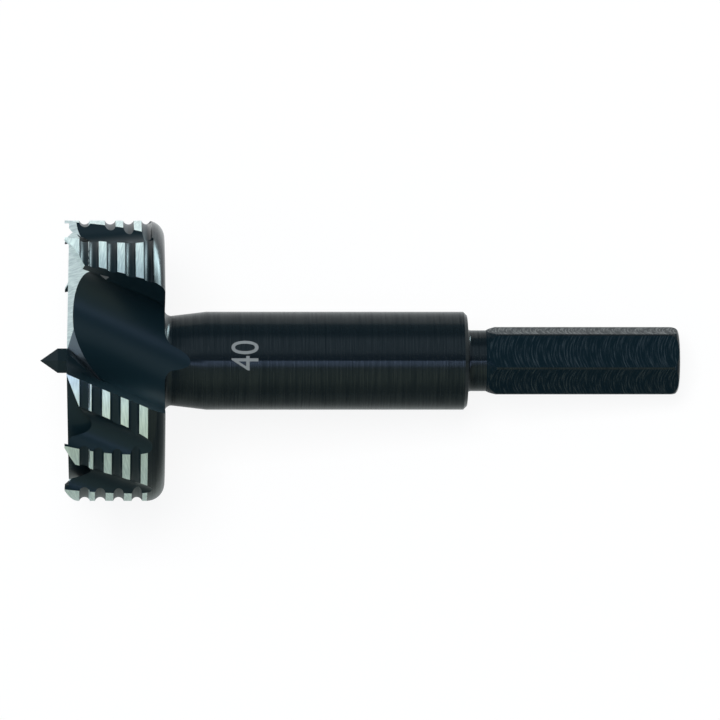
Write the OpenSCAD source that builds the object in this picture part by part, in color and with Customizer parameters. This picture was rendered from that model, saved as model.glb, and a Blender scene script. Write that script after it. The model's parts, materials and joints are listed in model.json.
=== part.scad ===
// Wave-rim forstner bit, 40 mm, turned and milled from one bar of tool steel.
// The bit is drawn upright about its own axis, shank end at z = 0 and point up,
// then laid down the way it comes to rest: on the two edges of one chip flute
// and on the end of its shank.

/* [Hex shank] */
// across the six flats
hex_across_flats = 8.8; // [6:0.1:12]
// bar that the flats are milled on, so the corners keep a thin round strip
hex_bar_d = 10; // [8:0.1:14]
// from the shank end to the shoulder
hex_length = 30.3; // [20:0.1:50]
// round on the shank end
hex_end_round = 1.2; // [0.3:0.1:2]
// plain neck between the flats and the shoulder
hex_neck_d = 8.7; // [6:0.1:10]
// length of that neck
hex_neck_length = 2.7; // [1:0.1:6]
// length of the slope that leads from the neck up to the flats
hex_runout = 1.4; // [0.5:0.1:3]
// turn of the flats against the cutting lips
hex_turn = 17.3; // [0:0.1:60]

/* [Round shank] */
// diameter of the plain shank
shank_d = 14; // [10:0.1:20]
// chamfer on the shoulder
shoulder_chamfer = 0.5; // [0.1:0.1:1.5]
// hollow fillet where the neck meets the shoulder
shoulder_fillet = 0.6; // [0.2:0.1:1]
// where the shank starts to thin toward the head
taper_start = 67.5; // [45:0.1:80]
// thinned diameter under the head
taper_d = 12.8; // [10:0.1:18]
// hollow fillet between the shank and the head
head_fillet = 1; // [0.3:0.1:2]

/* [Head] */
// diameter of the hole that the bit cuts
cut_d = 40; // [25:0.5:60]
// back face of the head, from the shank end
head_back = 73.5; // [50:0.1:100]
// back face to the tips of the rim teeth
head_height = 14.2; // [10:0.1:20]
// round on the back corner of the head
back_round = 2.5; // [1:0.1:4]
// how far the lips stay behind the rim teeth
lip_setback = 0.3; // [0.1:0.05:1]
// fall of the face behind each lip, in degrees
lip_relief = 1; // [1:0.5:10]
// fall of the heel in front of each flute, in degrees
heel_slope = 22.5; // [10:0.5:35]
// direction of that fall, turned from the flute's side
heel_turn = 8.3; // [-20:0.1:30]
// height of the heel plane at the axis, above the lips
heel_rise = 0.17; // [0:0.01:0.5]

/* [Rim teeth] */
// angle of the first tooth, at the flute's edge
lead_angle = -3.3; // [-20:0.1:20]
// angles from the first tooth back to the others, uneven so that the bit doesn't chatter
near_teeth = [0, 34.6, 63.5, 112]; // [0:0.1:130]
// the same on the other half of the rim
far_teeth = [0, 28.5, 57, 86.7, 117]; // [0:0.1:130]
// angle from the last tooth to a place inside the next flute
heel_step = 27.5; // [15:0.5:40]
// fall of each tooth from its tip to the next gullet
tooth_drop = 3.6; // [1:0.1:6]
// radius of the gullet cutter
gullet_r = 3.5; // [2:0.1:6]
// depth of a gullet at its reference height
gullet_depth = 2; // [1:0.1:3]
// that height, from the head's back face
gullet_height = 10.4; // [6:0.1:13]
// rise of the gullet toward the back, in degrees
gullet_slope = 12; // [5:0.5:20]
// lean of the gullet along the rim, in degrees
gullet_skew = 19.5; // [0:0.5:30]
// angle from a tooth's tip to its gullet's middle
gullet_lead = 7.4; // [4:0.1:12]

/* [Rim channel] */
// from the rim's outside to the channel's inner wall
channel_depth = 3.1; // [2:0.1:8]
// rim wall at the channel's floor
rim_wall_root = 2.2; // [1:0.1:4]
// rim wall at the tips of the teeth
rim_wall_tip = 0.4; // [0.2:0.1:2]
// rim wall where its inner bevel ends
rim_wall_bevel = 1.5; // [0.8:0.1:3]
// height of that bevel
rim_bevel = 1; // [0.5:0.1:3]
// channel floor, from the head's back face
channel_floor = 9.8; // [6:0.1:13]
// angle from the first tooth to the channel's start
channel_start = 8; // [4:0.5:20]

/* [Rim waves] */
// distance from one wave to the next, along the axis
wave_pitch = 2.6; // [1.5:0.1:4]
// radius of a wave's hollow
wave_r = 0.79; // [0.4:0.01:1.5]
// depth of a wave's hollow
wave_depth = 0.55; // [0.2:0.05:1]
// height of one hollow where the angle is zero
wave_height = 4.58; // [2:0.01:8]
// middle of the plain front hollow, from the head's back face
front_hollow = 11.36; // [9:0.1:13]
// lowest hollow that is cut, from the head's back face
wave_first = 1.9; // [1:0.1:4]
// least distance from the plain front hollow to the next one
wave_gap = 1.2; // [0.8:0.1:2]
// angle that the hollows run on past a tooth's tip
wave_lead = 1.2; // [0.5:0.1:4]
// angle that one tooth's hollows overlap the next one's
wave_lap = 0.4; // [0.1:0.1:1]

/* [Chip flutes] */
// radius of the flute cutter
flute_r = 6.75; // [5:0.1:10]
// flute's middle at the head's back face, out from the axis and across
flute_back = [12.65, 0.45]; // [0:0.01:20]
// the same, higher in the head
flute_front = [8.6, 6.59]; // [0:0.01:20]
// height of that second middle
flute_front_height = 13; // [8:0.5:14]
// angle round the rim of the corner that the flat behind each flute is cut down to
flat_angle = 44.6; // [20:0.1:80]
// height of that corner, from the head's back face
flat_height = 12.9; // [8:0.1:14]
// lean of that flat, in degrees
flat_lean = 72; // [60:0.1:90]
// turn of that flat about the bit's axis, in degrees
flat_turn = -64; // [-90:0.1:0]
// inner corner of the notch that thins the web at the point
web_corner = [0.6, 1.76, 13.7]; // [0:0.05:15]
// lean of the notch's floor, in degrees
web_floor_lean = 28.5; // [15:0.1:45]
// turn of the notch's floor about the bit's axis, in degrees
web_floor_turn = -2.3; // [-30:0.1:30]
// lean of the notch's lip side, in degrees
web_lip_lean = 125.4; // [100:0.1:150]
// turn of the notch's lip side about the bit's axis, in degrees
web_lip_turn = 79.7; // [60:0.1:100]

/* [Centre point] */
// tip of the point beyond the rim teeth
point_reach = 3.5; // [1:0.1:6]
// height of its four-sided part
point_height = 2.5; // [1:0.1:5]
// middle to corner of its square foot
point_half = 1.75; // [1:0.05:3]

/* [Hidden] */
$fn = 96;
head_r = cut_d/2;
shank_r = shank_d/2;
neck_r = hex_neck_d/2;
bar_r = hex_bar_d/2;
neck_start = hex_length - hex_neck_length;
lip_height = head_height - lip_setback;
inner_r = head_r - rim_wall_tip;
channel_r = head_r - channel_depth;
tooth_steps = [near_teeth, far_teeth];
// cutters stand this far clear of the metal that they leave
clear = 3;
// lean of the flute, toward the axis and across it
flute_lean = atan((flute_back[0] - flute_front[0])/flute_front_height);
flute_across = atan((flute_front[1] - flute_back[1])/flute_front_height*cos(flute_lean));
flute_below = 8;
flute_above = 24;
// the block that opens the flute outward is a hair narrower than the round cutter
mouth_half = 0.99*flute_r;
// size of the block that cuts the flat, and where its corner stands on the flat
flat_cutter = [26, 17, 9];
flat_cutter_at = [-6, -7, 0];
// the same for the two blocks that cut the web's notch
web_floor_cutter = [18, 16, 6];
web_floor_cutter_at = [-6, -8, 0];
web_lip_cutter = [32, 32, 12];
web_lip_cutter_at = [-16, -16, 0];
// the point's foot starts this far below the lips
point_root = 1;
// the lip's plane runs on past its edge, so that no sliver stands in front of it
lip_run = 2;
// the first tooth's hollows run out into the open flute
wave_run = 6;

flat_corner = [head_r*cos(flat_angle), head_r*sin(flat_angle), flat_height];
// facing directions of the two flute walls that meet the rim
flat_facing = [
    sin(flat_lean)*cos(flat_turn),
    sin(flat_lean)*sin(flat_turn),
    cos(flat_lean)
];
lead_facing = [
    -sin(flute_across)*sin(flute_lean),
    -cos(flute_across),
    sin(flute_across)*cos(flute_lean)
];
lead_at = [flute_back[0], flute_back[1], 0] + mouth_half*lead_facing;
// the three places where the resting bit touches the table: on the back round,
// on the rim's lowest land, and on a rounded corner of the hex
flat_touch_height = 0.76*back_round;
lead_touch_height = 0.4*head_height;
shank_touch_height = 0.75*hex_end_round;
shank_touch_r = bar_r - 0.03*hex_end_round;
shank_touch_angle = hex_turn + 150;
flat_touch = on_rim(flat_facing, flat_corner, flat_touch_height, 1);
lead_touch = on_rim(lead_facing, lead_at, lead_touch_height, 1);
shank_touch = [
    shank_touch_r*cos(shank_touch_angle),
    shank_touch_r*sin(shank_touch_angle),
    shank_touch_height
];
table = cross(lead_touch - flat_touch, shank_touch - flat_touch);
down = table/norm(table)*sign(table*flat_touch);
rest_turn = atan2(-down[1], -down[0]);
rest_tilt = asin(-down[2]);
tip_end = (head_back + head_height + point_reach)*cos(rest_tilt);
shank_end = (bar_r - hex_end_round)*sin(rest_tilt);

// point on the rim, on the far side of the bit, where a flute wall cuts it
function on_rim(facing, at, height, side) =
    let (flat = norm([facing[0], facing[1]]))
    let (turn = acos((facing*at - facing[2]*height)/(head_r*flat)))
    let (angle = 180 + atan2(facing[1], facing[0]) + side*turn)
    [head_r*cos(angle), head_r*sin(angle), head_back + height];

function teeth(half) = len(tooth_steps[half]);

function tooth_angle(half, i) =
    let (steps = tooth_steps[half])
    lead_angle - (i < len(steps) ? steps[i] : steps[len(steps) - 1] + heel_step);

module both_sides()
{
    for (half = [0, 180])
        rotate(half)
            children();
}

// outside corner rounded off: the corner stands at the origin, the metal to the left and above
module corner_waste(r)
{
    difference()
    {
        translate([-r, -1])
            square([r + 1, r + 1]);
        translate([-r, r])
            circle(r);
    }
}

// inside corner filled up: the corner stands at the origin, the metal to the left and above
module corner_fill(r)
{
    difference()
    {
        translate([-1, -r])
            square([r + 1, r + 1]);
        translate([r, -r])
            circle(r);
    }
}

// the whole bit as it comes off the lathe, before any milling
module turned_blank()
{
    rotate_extrude()
    {
        difference()
        {
            polygon([
                [0, 0],
                [bar_r, 0],
                [bar_r, neck_start - hex_runout],
                [neck_r, neck_start],
                [neck_r, hex_length],
                [shank_r - shoulder_chamfer, hex_length],
                [shank_r, hex_length + shoulder_chamfer],
                [shank_r, taper_start],
                [taper_d/2, head_back - head_fillet],
                [taper_d/2, head_back],
                [head_r, head_back],
                [head_r, head_back + head_height],
                [0, head_back + head_height]
            ]);
            translate([bar_r, 0])
                corner_waste(hex_end_round);
            translate([head_r, head_back])
                corner_waste(back_round);
        }
        translate([neck_r, hex_length])
            corner_fill(shoulder_fillet);
        translate([taper_d/2, head_back])
            corner_fill(head_fillet);
    }
}

module hex_flats()
{
    for (i = [0:5])
        rotate(hex_turn + 60*i)
            translate([hex_across_flats/2, -bar_r, -1])
                cube([bar_r, hex_bar_d, neck_start + 1]);
}

// hollows that run round the rim like a thread, one set of arcs for each tooth
module wave_arc(middle, from, to)
{
    first = wave_height + wave_pitch*middle/360;
    rotate_extrude(angle = to - from, start = from)
        translate([head_r + wave_r - wave_depth, 0])
        {
            translate([0, front_hollow])
                circle(wave_r, $fn = 32);
            for (k = [-2:3])
                if (first + k*wave_pitch > wave_first && first + k*wave_pitch < front_hollow - wave_gap)
                    translate([0, first + k*wave_pitch])
                        circle(wave_r, $fn = 32);
        }
}

module chip_flute()
{
    translate([flute_back[0], flute_back[1], 0])
        rotate([-flute_across, -flute_lean, 0])
        {
            translate([0, 0, -flute_below])
                cylinder(h = flute_below + flute_above, r = flute_r);
            translate([0, -mouth_half, -flute_below])
                cube([head_r, 2*mouth_half, flute_below + flute_above]);
        }
    translate(flat_corner)
        rotate([0, flat_lean, flat_turn])
            translate(flat_cutter_at)
                cube(flat_cutter);
}

// thins the web between the flutes, next to the point
module web_notch()
{
    translate(web_corner)
        intersection()
        {
            rotate([0, web_floor_lean, web_floor_turn])
                translate(web_floor_cutter_at)
                    cube(web_floor_cutter);
            rotate([0, web_lip_lean, web_lip_turn])
                translate(web_lip_cutter_at)
                    cube(web_lip_cutter);
        }
}

module gullet(angle)
{
    rotate(angle + gullet_lead)
        translate([head_r + gullet_r - gullet_depth, 0, gullet_height])
            rotate([-gullet_skew, -gullet_slope, 0])
                cylinder(h = 3*head_height, r = gullet_r, center = true);
}

// slope behind a tooth's tip, cut across the rim as far as the channel
module tooth_slope(angle, span)
{
    reach = 2*head_r*sin(span/2);
    relief = atan(tooth_drop/reach);
    rotate(angle - span/2)
        translate([(channel_r + head_r - rim_wall_root)/2, reach/2, head_height])
            rotate([relief, 0, 0])
                translate([0, -reach/cos(relief), 0])
                    cube([rim_wall_root + clear, reach/cos(relief) + clear, 2*clear]);
}

module rim_channel(from)
{
    rotate_extrude(angle = lead_angle - from, start = from - channel_start)
        polygon([
            [channel_r, channel_floor],
            [head_r - rim_wall_root, channel_floor],
            [head_r - rim_wall_bevel, head_height - rim_bevel],
            [inner_r, head_height],
            [inner_r, head_height + clear],
            [channel_r, head_height + clear]
        ]);
}

// face behind one lip, inside the rim
module lip_face()
{
    intersection()
    {
        cylinder(h = 2*head_height, r = inner_r);
        rotate(lead_angle)
            translate([0, 0, lip_height])
                rotate([lip_relief, 0, 0])
                    translate([-head_r, -cut_d, 0])
                        cube([cut_d, cut_d + lip_run, clear]);
    }
}

// pale ground heel in front of one flute
module heel_face()
{
    intersection()
    {
        cylinder(h = 2*head_height, r = head_r - rim_wall_root);
        translate([0, 0, lip_height + heel_rise])
            rotate([0, heel_slope, heel_turn])
                cube([cut_d, cut_d, head_height]);
    }
}

module centre_point()
{
    foot = point_half*sqrt(0.5);
    tip = head_height + point_reach;
    intersection_for (turn = [45, 135])
        rotate([90, 0, turn])
            linear_extrude(4*foot, center = true)
                polygon([
                    [-foot, lip_height - point_root],
                    [foot, lip_height - point_root],
                    [foot, tip - point_height],
                    [0, tip],
                    [-foot, tip - point_height]
                ]);
}

module rim_waves()
{
    for (half = [0, 1])
        for (i = [0:teeth(half) - 1])
        {
            from = 180*half + tooth_angle(half, i + 1) + wave_lead - wave_lap;
            to = 180*half + (i == 0 ? lead_angle + wave_run : tooth_angle(half, i) + wave_lead);
            wave_arc((from + to)/2, from, to);
        }
}

module rim_teeth()
{
    for (half = [0, 1])
        rotate(180*half)
        {
            rim_channel(tooth_angle(half, teeth(half)));
            for (i = [0:teeth(half) - 1])
                tooth_slope(
                    tooth_angle(half, i),
                    tooth_angle(half, i) - tooth_angle(half, i + 1) - gullet_lead
                );
            for (i = [1:teeth(half) - 1])
                gullet(tooth_angle(half, i));
        }
}

module upright_bit()
{
    difference()
    {
        turned_blank();
        hex_flats();
        translate([0, 0, head_back])
        {
            both_sides()
            {
                lip_face();
                heel_face();
            }
            rim_waves();
            rim_teeth();
            both_sides()
            {
                chip_flute();
                web_notch();
            }
        }
    }
    translate([0, 0, head_back])
        centre_point();
}

// laid on the table, with the middle of its shadow at the origin
module forstner_bit()
{
    color("#23282d")
        translate([(tip_end - shank_end)/2, 0, down*flat_touch])
            rotate([0, rest_tilt - 90, 0])
                rotate(-rest_turn)
                    upright_bit();
}

forstner_bit();
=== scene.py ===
import json
import math

import bmesh
import bpy
from mathutils import Matrix, Vector


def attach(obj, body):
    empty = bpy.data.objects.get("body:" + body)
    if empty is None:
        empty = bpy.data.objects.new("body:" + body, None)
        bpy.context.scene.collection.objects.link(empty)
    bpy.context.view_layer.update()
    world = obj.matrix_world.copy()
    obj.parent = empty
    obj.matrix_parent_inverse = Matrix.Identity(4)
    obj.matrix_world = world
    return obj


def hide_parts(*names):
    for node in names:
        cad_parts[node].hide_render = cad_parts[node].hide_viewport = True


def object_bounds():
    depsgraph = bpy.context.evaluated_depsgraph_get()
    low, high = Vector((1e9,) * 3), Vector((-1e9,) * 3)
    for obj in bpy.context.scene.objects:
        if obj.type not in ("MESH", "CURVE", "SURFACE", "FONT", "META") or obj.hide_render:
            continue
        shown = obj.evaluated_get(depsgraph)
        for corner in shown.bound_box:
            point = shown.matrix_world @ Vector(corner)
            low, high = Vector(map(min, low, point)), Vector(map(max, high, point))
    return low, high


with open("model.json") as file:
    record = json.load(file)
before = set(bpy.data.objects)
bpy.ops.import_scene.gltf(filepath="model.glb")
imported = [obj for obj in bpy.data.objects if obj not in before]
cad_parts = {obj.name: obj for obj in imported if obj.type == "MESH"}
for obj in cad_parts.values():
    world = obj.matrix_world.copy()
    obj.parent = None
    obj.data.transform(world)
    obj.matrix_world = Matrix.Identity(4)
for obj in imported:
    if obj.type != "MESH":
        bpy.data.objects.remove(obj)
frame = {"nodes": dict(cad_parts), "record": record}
cad_low, cad_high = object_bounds()
scene = bpy.context.scene
scene.view_settings.view_transform = "Standard"


# The bit.
# One bar of tool steel, turned, milled and blackened, with the rim lands and
# the front faces ground bright afterwards. Its mesh is the solid's own.
MM = 0.001
head_back = 73.5 * MM
rim_radius = 20 * MM
land_start = 2.45 * MM
channel_floor = 9.8 * MM
point_radius = 2 * MM
shank_radius = 7 * MM
hex_end = 27.7 * MM
hex_bar_radius = 5 * MM
bit_turn = math.radians(-7.03)
web_turn = bit_turn + math.radians(-2.3)
web_lean = math.radians(28.5)

# The bit's own upright axes come from the mount on the end of its shank: Z runs up to
# the point, and X looks away from the table.
mounts = {mount["name"]: mount for mount in frame["record"]["mounts"]}
shank_end = Vector(mounts["shank_end"]["pos_m"])
tip_way = -Vector(mounts["shank_end"]["axis"]).normalized()
side_way = Vector((0, 1, 0))
top_way = side_way.cross(tip_way)
lying = Matrix((top_way, side_way, tip_way)).transposed().to_4x4()
lying.translation = shank_end
upright = lying.inverted()

# The solid's faces come as loose patches. Their borders are marked sharp before they
# are merged, and made smooth again where one patch runs evenly into the next.
merge_gap = 0.0005 * MM
even_angle = math.radians(5)
bit_mesh = frame["nodes"]["forstner_bit"].data.copy()
bit_mesh.name = "forstner_bit_dressed"
patches = bmesh.new()
patches.from_mesh(bit_mesh)
for edge in patches.edges:
    edge.smooth = not edge.is_boundary
bmesh.ops.remove_doubles(patches, verts=patches.verts, dist=merge_gap)
bmesh.ops.dissolve_degenerate(patches, edges=patches.edges, dist=merge_gap)
for edge in patches.edges:
    if len(edge.link_faces) == 2 and edge.calc_face_angle() < even_angle:
        edge.smooth = True
for face in patches.faces:
    face.smooth = True
patches.to_mesh(bit_mesh)
patches.free()
bit = bpy.data.objects.new("bit", bit_mesh)
scene.collection.objects.link(bit)

# The finishes are told apart by where a face lies on the bit and which way it looks.
# The first five values are the cosines that a face has to pass, or stay under.
HEAD, LAND, FRONT, WEB, TURNED, MILLED = range(6)
web_match = 0.9995
land_outward = 0.95
front_upward = 0.72
flat_outward = 0.8
turned_sideways = 0.03
land_slack = 0.004 * MM
front_margin = 0.3 * MM
head_margin = 0.1 * MM
strip_slack = 0.05 * MM
least_reach = 1e-9
web_facing = Vector((
    math.sin(web_lean) * math.cos(web_turn),
    math.sin(web_lean) * math.sin(web_turn),
    math.cos(web_lean),
))
bit_mesh.materials.clear()
surface_map = bit_mesh.uv_layers.new(name="along_and_round")
for face in bit_mesh.polygons:
    middle = upright @ face.center
    facing = upright.to_3x3() @ face.normal
    half_turned = Vector((-facing.x, -facing.y, facing.z))
    corners = [upright @ bit_mesh.vertices[i].co for i in face.vertices]
    reach = [math.hypot(corner.x, corner.y) for corner in corners]
    middle_reach = max(math.hypot(middle.x, middle.y), least_reach)
    height = middle.z - head_back
    outward = (facing.x * middle.x + facing.y * middle.y) / middle_reach
    sideways = (facing.y * middle.x - facing.x * middle.y) / middle_reach
    like_web = max(facing.dot(web_facing), half_turned.dot(web_facing)) > web_match
    on_rim = min(reach) > rim_radius - land_slack and outward > land_outward
    past_floor = height > channel_floor + front_margin and middle_reach > point_radius
    on_flat = middle_reach < hex_bar_radius - strip_slack and outward > flat_outward
    if like_web and height > channel_floor:
        face.material_index = WEB
    elif on_rim and height > land_start:
        face.material_index = LAND
    elif past_floor and facing.z > front_upward:
        face.material_index = FRONT
    elif on_flat and middle.z < hex_end:
        face.material_index = MILLED
    elif height < -head_margin or height < land_start and abs(sideways) < turned_sideways:
        face.material_index = TURNED
    else:
        face.material_index = HEAD

    # The map is in millimetres: along the turned outline and round the bit, or along
    # and across a flat of the hex.
    middle_turn = math.atan2(middle.y, middle.x)
    flat_turn = math.atan2(facing.y, facing.x)
    for loop, corner, corner_reach in zip(face.loop_indices, corners, reach):
        if face.material_index == MILLED:
            along = corner.z
            across = corner.y * math.cos(flat_turn) - corner.x * math.sin(flat_turn)
        else:
            step = math.atan2(corner.y, corner.x) - middle_turn
            step = (step + math.pi) % (2 * math.pi) - math.pi
            along = corner.z - corner_reach
            across = (middle_turn + step) * shank_radius
        surface_map.data[loop].uv = (along / MM, across / MM)


def finish_of(name, colour, metallic, roughness):
    """A plain finish, with its node tree and shader for what is added to it."""
    finish = bpy.data.materials.new(name)
    finish.use_nodes = True
    shader = finish.node_tree.nodes["Principled BSDF"]
    shader.inputs["Base Color"].default_value = (*colour, 1)
    shader.inputs["Metallic"].default_value = metallic
    shader.inputs["Roughness"].default_value = roughness
    return finish, finish.node_tree, shader


def tool_lines(tree, place, lines_per_length, dimensions, detail, roughness):
    """Noise that is drawn out into the lines of a wheel, a lathe or a cutter."""
    feed = tree.nodes.new("ShaderNodeMapping")
    feed.inputs["Scale"].default_value = lines_per_length
    tree.links.new(place, feed.inputs["Vector"])
    lines = tree.nodes.new("ShaderNodeTexNoise")
    lines.noise_dimensions = dimensions
    lines.inputs["Scale"].default_value = 1
    lines.inputs["Detail"].default_value = detail
    lines.inputs["Roughness"].default_value = roughness
    tree.links.new(feed.outputs["Vector"], lines.inputs["Vector"])
    return lines.outputs["Fac"]


def shine_and_relief(tree, shader, lines, span, gloss, strength):
    """Makes the lines of a black finish shine and stand out a little."""
    shine = tree.nodes.new("ShaderNodeMapRange")
    shine.inputs["From Min"].default_value, shine.inputs["From Max"].default_value = span
    shine.inputs["To Min"].default_value, shine.inputs["To Max"].default_value = gloss
    tree.links.new(lines, shine.inputs["Value"])
    tree.links.new(shine.outputs["Result"], shader.inputs["Specular IOR Level"])
    relief = tree.nodes.new("ShaderNodeBump")
    relief.inputs["Strength"].default_value = strength
    relief.inputs["Distance"].default_value = 0.02 * MM
    tree.links.new(lines, relief.inputs["Height"])
    tree.links.new(relief.outputs["Normal"], shader.inputs["Normal"])


black_sheen = (0.93, 1, 0.95, 1)
head_black, tree, shader = finish_of("black_oxide_head", (0.0035, 0.01, 0.0135), 0, 0.34)
shader.inputs["Specular IOR Level"].default_value = 0.17
shader.inputs["Specular Tint"].default_value = black_sheen
bit_mesh.materials.append(head_black)

# The wheel ground the lands round the rim and the front faces straight across.
for name, lines_per_metre, edge_tint in (
    ("ground_lands", (6000, 500, 500), (1, 1, 1, 1)),
    ("ground_front", (500, 5000, 350), (0.84, 0.93, 0.98, 1)),
):
    ground_steel, tree, shader = finish_of(name, (0.63, 0.71, 0.68), 1, 0.45)
    shader.inputs["Specular Tint"].default_value = edge_tint
    bit_place = tree.nodes.new("ShaderNodeTexCoord")
    scratches = tool_lines(tree, bit_place.outputs["Object"], lines_per_metre, "3D", 4, 0.5)
    steel_tint = tree.nodes.new("ShaderNodeValToRGB")
    steel_tint.color_ramp.elements[0].position = 0.3
    steel_tint.color_ramp.elements[0].color = (0.5, 0.58, 0.57, 1)
    steel_tint.color_ramp.elements[1].position = 0.7
    steel_tint.color_ramp.elements[1].color = (0.76, 0.84, 0.8, 1)
    tree.links.new(scratches, steel_tint.inputs["Fac"])
    tree.links.new(steel_tint.outputs["Color"], shader.inputs["Base Color"])
    bit_mesh.materials.append(ground_steel)
# The faces of the thinned web: ground steel with a base colour far darker than the lands', and a
# little rougher.
web_steel, tree, shader = finish_of("darker_ground_steel", (0.13, 0.165, 0.185), 1, 0.5)
bit_mesh.materials.append(web_steel)

# The shank and the back of the head keep the fine rings of the lathe under the blacking.
turned_black, tree, shader = finish_of("black_oxide_turned", (0.003, 0.006, 0.008), 0, 0.2)
shader.inputs["Specular Tint"].default_value = black_sheen
turned_place = tree.nodes.new("ShaderNodeUVMap")
turned_place.uv_map = surface_map.name
rings = tool_lines(tree, turned_place.outputs["UV"], (4.5, 0.1, 1), "2D", 4, 0.75)
shine_and_relief(tree, shader, rings, span=(0.3, 0.7), gloss=(0.08, 0.28), strength=0.4)
bit_mesh.materials.append(turned_black)

# The flats of the hex keep the short arcs of a milling cutter, bent toward the shank end.
arc_bend = 0.12
milled_black, tree, shader = finish_of("black_oxide_milled", (0.003, 0.009, 0.013), 0, 0.26)
shader.inputs["Specular Tint"].default_value = black_sheen
flat_map = tree.nodes.new("ShaderNodeUVMap")
flat_map.uv_map = surface_map.name
flat_place = tree.nodes.new("ShaderNodeSeparateXYZ")
tree.links.new(flat_map.outputs["UV"], flat_place.inputs[0])
across_squared = tree.nodes.new("ShaderNodeMath")
across_squared.operation = "POWER"
across_squared.inputs[1].default_value = 2
tree.links.new(flat_place.outputs["Y"], across_squared.inputs[0])
bent_along = tree.nodes.new("ShaderNodeMath")
bent_along.operation = "MULTIPLY_ADD"
bent_along.inputs[1].default_value = arc_bend
tree.links.new(across_squared.outputs[0], bent_along.inputs[0])
tree.links.new(flat_place.outputs["X"], bent_along.inputs[2])
arc_place = tree.nodes.new("ShaderNodeCombineXYZ")
tree.links.new(bent_along.outputs[0], arc_place.inputs["X"])
tree.links.new(flat_place.outputs["Y"], arc_place.inputs["Y"])
arcs = tool_lines(tree, arc_place.outputs[0], (4.6, 0.4, 1), "2D", 3, 0.6)
shine_and_relief(tree, shader, arcs, span=(0.5, 0.74), gloss=(0.02, 0.4), strength=0.3)
bit_mesh.materials.append(milled_black)

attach(bit, "root")
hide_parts("forstner_bit")


# The size mark.
# The number that gives the cut in millimetres, etched pale into the blacking of the
# shank. It reads across the shank, with the tops of the digits toward the point.
mark_base = 60.19 * MM
mark_height = 3.86 * MM
mark_start = -1.39 * MM
mark_width = 4.29 * MM
mark_lift = 0.003 * MM
mark_strips = 16

digits = bpy.data.curves.new("size_digits", "FONT")
digits.body = str(round(2 * rim_radius / MM))
digits_object = bpy.data.objects.new("size_digits", digits)
scene.collection.objects.link(digits_object)
bpy.context.view_layer.update()
depsgraph = bpy.context.evaluated_depsgraph_get()
mark_mesh = bpy.data.meshes.new_from_object(digits_object.evaluated_get(depsgraph))
mark_mesh.name = "size_mark"
bpy.data.objects.remove(digits_object)
bpy.data.curves.remove(digits)

# The flat digits are cut into upright strips, so that they bend evenly round the shank.
sheet = bmesh.new()
sheet.from_mesh(mark_mesh)
left = min(vert.co.x for vert in sheet.verts)
right = max(vert.co.x for vert in sheet.verts)
foot = min(vert.co.y for vert in sheet.verts)
top = max(vert.co.y for vert in sheet.verts)
for i in range(1, mark_strips):
    cut = (left + (right - left) * i / mark_strips, 0, 0)
    whole = sheet.verts[:] + sheet.edges[:] + sheet.faces[:]
    bmesh.ops.bisect_plane(sheet, geom=whole, plane_co=cut, plane_no=(1, 0, 0))
bmesh.ops.triangulate(sheet, faces=sheet.faces)
mark_radius = shank_radius + mark_lift
for vert in sheet.verts:
    along_shank = mark_base + (vert.co.y - foot) / (top - foot) * mark_height
    round_shank = mark_start + (vert.co.x - left) / (right - left) * mark_width
    turn = round_shank / shank_radius + bit_turn
    vert.co = lying @ Vector((mark_radius * math.cos(turn), mark_radius * math.sin(turn), along_shank))
sheet.to_mesh(mark_mesh)
sheet.free()
mark = bpy.data.objects.new("size_mark", mark_mesh)
scene.collection.objects.link(mark)
etched_grey, tree, shader = finish_of("etched_grey", (0.17, 0.18, 0.18), 0, 0.7)
mark_mesh.materials.clear()
mark_mesh.materials.append(etched_grey)
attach(mark, "root")


# The table top.
# Plain white card under the bit, which keeps the bit's soft shadow. In the steel's reflections the
# card carries painted shade, a greyer tone on the side of the lower teeth, and a painted glow on the
# other side.
floor_half = 3.0
card_white = (0.86, 0.86, 0.86)
# How far across the card the painted shade and painted glow of the reflections reach, and how strong
# the painted glow grows.
painted_ramp_half = 40 * MM
painted_glow_peak = 0.8
camera_glow = 0.9

floor_mesh = bpy.data.meshes.new("floor")
floor_mesh.from_pydata(
    [(x * floor_half, y * floor_half, cad_low.z) for x, y in ((-1, -1), (1, -1), (1, 1), (-1, 1))],
    [],
    [(0, 1, 2, 3)],
)
floor = bpy.data.objects.new("floor", floor_mesh)
scene.collection.objects.link(floor)
card, tree, shader = finish_of("white_card", card_white, 0, 0.9)
card_place = tree.nodes.new("ShaderNodeTexCoord")
card_axes = tree.nodes.new("ShaderNodeSeparateXYZ")
tree.links.new(card_place.outputs["Object"], card_axes.inputs[0])
# A ramp across the card for what the steel mirrors, from painted shade on the side of the lower teeth
# to painted glow on the other.
painted_reflection_ramp = tree.nodes.new("ShaderNodeMapRange")
painted_reflection_ramp.inputs["From Min"].default_value = -painted_ramp_half
painted_reflection_ramp.inputs["From Max"].default_value = painted_ramp_half
painted_reflection_ramp.inputs["To Max"].default_value = painted_glow_peak
tree.links.new(card_axes.outputs["Y"], painted_reflection_ramp.inputs["Value"])
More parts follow.
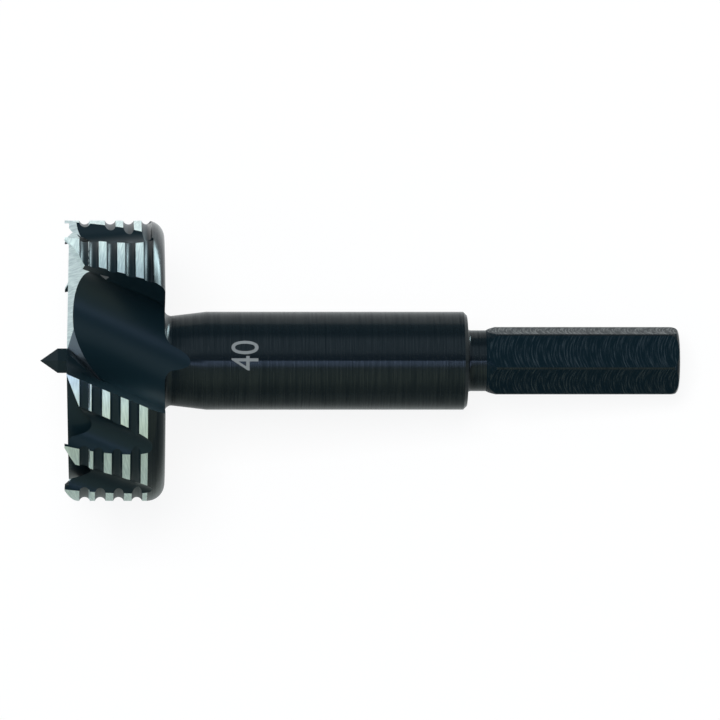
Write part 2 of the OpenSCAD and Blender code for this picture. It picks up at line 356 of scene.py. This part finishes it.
# Painted shade and painted light in the card's colour as the steel mirrors it: greyer on the side of
# the lower teeth, paler on the other.
painted_shade_and_light_tint = tree.nodes.new("ShaderNodeValToRGB")
painted_shade_and_light_tint.color_ramp.elements[0].color = (0.42, 0.46, 0.41, 1)
painted_shade_and_light_tint.color_ramp.elements[1].color = (0.84, 0.9, 0.92, 1)
tree.links.new(painted_reflection_ramp.outputs["Result"], painted_shade_and_light_tint.inputs["Fac"])
card_ray = tree.nodes.new("ShaderNodeLightPath")
card_colour = tree.nodes.new("ShaderNodeMix")
card_colour.data_type = "RGBA"
card_colour.inputs["A"].default_value = (*card_white, 1)
tree.links.new(card_ray.outputs["Is Glossy Ray"], card_colour.inputs["Factor"])
tree.links.new(painted_shade_and_light_tint.outputs["Color"], card_colour.inputs["B"])
tree.links.new(card_colour.outputs["Result"], shader.inputs["Base Color"])
glow = tree.nodes.new("ShaderNodeEmission")
glow.inputs["Color"].default_value = (1, 1, 1, 1)
# Painted glow, seen only in reflections, that rises across the card away from the lower teeth.
painted_glow_share = tree.nodes.new("ShaderNodeMath")
painted_glow_share.operation = "MULTIPLY"
tree.links.new(card_ray.outputs["Is Glossy Ray"], painted_glow_share.inputs[0])
tree.links.new(painted_reflection_ramp.outputs["Result"], painted_glow_share.inputs[1])
glow_share = tree.nodes.new("ShaderNodeMath")
glow_share.operation = "MULTIPLY_ADD"
glow_share.inputs[1].default_value = camera_glow
tree.links.new(card_ray.outputs["Is Camera Ray"], glow_share.inputs[0])
tree.links.new(painted_glow_share.outputs[0], glow_share.inputs[2])
lit_card = tree.nodes.new("ShaderNodeMixShader")
tree.links.new(glow_share.outputs[0], lit_card.inputs[0])
tree.links.new(shader.outputs[0], lit_card.inputs[1])
tree.links.new(glow.outputs[0], lit_card.inputs[2])
tree.links.new(lit_card.outputs[0], tree.nodes["Material Output"].inputs["Surface"])
floor_mesh.materials.append(card)


# The light.
# A tent of pale cloth in bands across the bit, with a bright slit and a dark gap beside
# the lens. A soft box hangs overhead, and a strip by the table lights the back of the rim.
tent_bands = (
    (0.0, (0.4, 0.45, 0.38)),
    (0.1, (0.85, 0.95, 0.78)),
    (0.2, (0.9, 1, 0.85)),
    (0.33, (0.62, 0.66, 0.55)),
    (0.35, (2, 2.5, 4.2)),
    (0.37, (4.2, 5.2, 8)),
    (0.388, (2.5, 3.2, 5.6)),
    (0.405, (0.1, 0.1, 0.2)),
    (0.53, (0.1, 0.1, 0.18)),
    (0.62, (0.8, 0.95, 1.15)),
    (0.83, (0.85, 1, 1.2)),
    (0.93, (0.12, 0.16, 0.2)),
    (0.98, (0.2, 0.26, 0.3)),
)
tent_fill = 0.35
world = bpy.data.worlds.new("tent")
scene.world = world
world.use_nodes = True
tree = world.node_tree
cloth = tree.nodes["Background"]
tent_way = tree.nodes.new("ShaderNodeTexCoord")
tent_axes = tree.nodes.new("ShaderNodeSeparateXYZ")
tree.links.new(tent_way.outputs["Generated"], tent_axes.inputs[0])
tent_across = tree.nodes.new("ShaderNodeMapRange")
tent_across.inputs["From Min"].default_value = -1
tent_across.inputs["From Max"].default_value = 1
tree.links.new(tent_axes.outputs["Y"], tent_across.inputs["Value"])
cloth_tint = tree.nodes.new("ShaderNodeValToRGB")
cloth_tint.color_ramp.interpolation = "EASE"
while len(cloth_tint.color_ramp.elements) < len(tent_bands):
    cloth_tint.color_ramp.elements.new(0.5)
for stop, (position, colour) in zip(cloth_tint.color_ramp.elements, tent_bands):
    stop.position = position
    stop.color = (*colour, 1)
tree.links.new(tent_across.outputs["Result"], cloth_tint.inputs["Fac"])
tree.links.new(cloth_tint.outputs["Color"], cloth.inputs["Color"])
tent_ray = tree.nodes.new("ShaderNodeLightPath")
cloth_strength = tree.nodes.new("ShaderNodeMapRange")
cloth_strength.inputs["To Min"].default_value = tent_fill
cloth_strength.inputs["To Max"].default_value = 1
tree.links.new(tent_ray.outputs["Is Glossy Ray"], cloth_strength.inputs["Value"])
tree.links.new(cloth_strength.outputs["Result"], cloth.inputs["Strength"])
white_backdrop = tree.nodes.new("ShaderNodeBackground")
white_backdrop.inputs["Color"].default_value = (1, 1, 1, 1)
seen_tent = tree.nodes.new("ShaderNodeMixShader")
tree.links.new(tent_ray.outputs["Is Camera Ray"], seen_tent.inputs[0])
tree.links.new(cloth.outputs[0], seen_tent.inputs[1])
tree.links.new(white_backdrop.outputs[0], seen_tent.inputs[2])
tree.links.new(seen_tent.outputs[0], tree.nodes["World Output"].inputs["Surface"])


def lamp_at(name, place, aim, size, spread, energy, colour):
    """A flat lamp that is aimed from one place at another and that the camera doesn't see."""
    lamp = bpy.data.lights.new(name, "AREA")
    lamp.shape = "RECTANGLE"
    lamp.size, lamp.size_y = size
    lamp.spread = math.radians(spread)
    lamp.energy = energy
    lamp.color = colour
    stand = bpy.data.objects.new(name, lamp)
    stand.location = place
    stand.rotation_euler = (Vector(aim) - Vector(place)).to_track_quat("-Z", "Y").to_euler()
    stand.visible_camera = False
    scene.collection.objects.link(stand)
    return stand


soft_box = lamp_at(
    "soft_box",
    place=(0, 0.15, 1.1),
    aim=(0, 0, 0),
    size=(0.5, 0.5),
    spread=180,
    energy=12,
    colour=(0.98, 1, 0.98),
)
soft_box.visible_glossy = False
lamp_at(
    "rim_strip",
    place=(0.012, 0.06, 0.006),
    aim=(-0.026, 0.014, 0.03),
    size=(0.08, 0.06),
    spread=50,
    energy=0.035,
    colour=(0.7, 0.92, 1),
)


# The camera.
# Looks down on the lying bit as the photograph does, square to its axis, with the
# point a little nearer than the shank.
photo_tilt = math.radians(2.2)
view_along = 45.54 * MM
view_raise = 0.1 * MM
view_distance = 1.05
frame_width = 102.86 * MM
turned_up = lying.to_3x3() @ Matrix.Rotation(bit_turn, 3, "Z")
view_from = turned_up @ Vector((math.cos(photo_tilt), 0, math.sin(photo_tilt)))
view_up = turned_up @ Vector((0, 1, 0))
view_right = view_up.cross(view_from)
lens = bpy.data.cameras.new("photo_lens")
lens.sensor_width = 36
lens.lens = lens.sensor_width * view_distance / frame_width
lens.clip_end = 20
camera = bpy.data.objects.new("photo_camera", lens)
scene.collection.objects.link(camera)
viewpoint = Matrix((view_right, view_up, view_from)).transposed().to_4x4()
view_centre = shank_end + tip_way * view_along + view_up * view_raise
viewpoint.translation = view_centre + view_from * view_distance
camera.matrix_world = viewpoint
scene.camera = camera
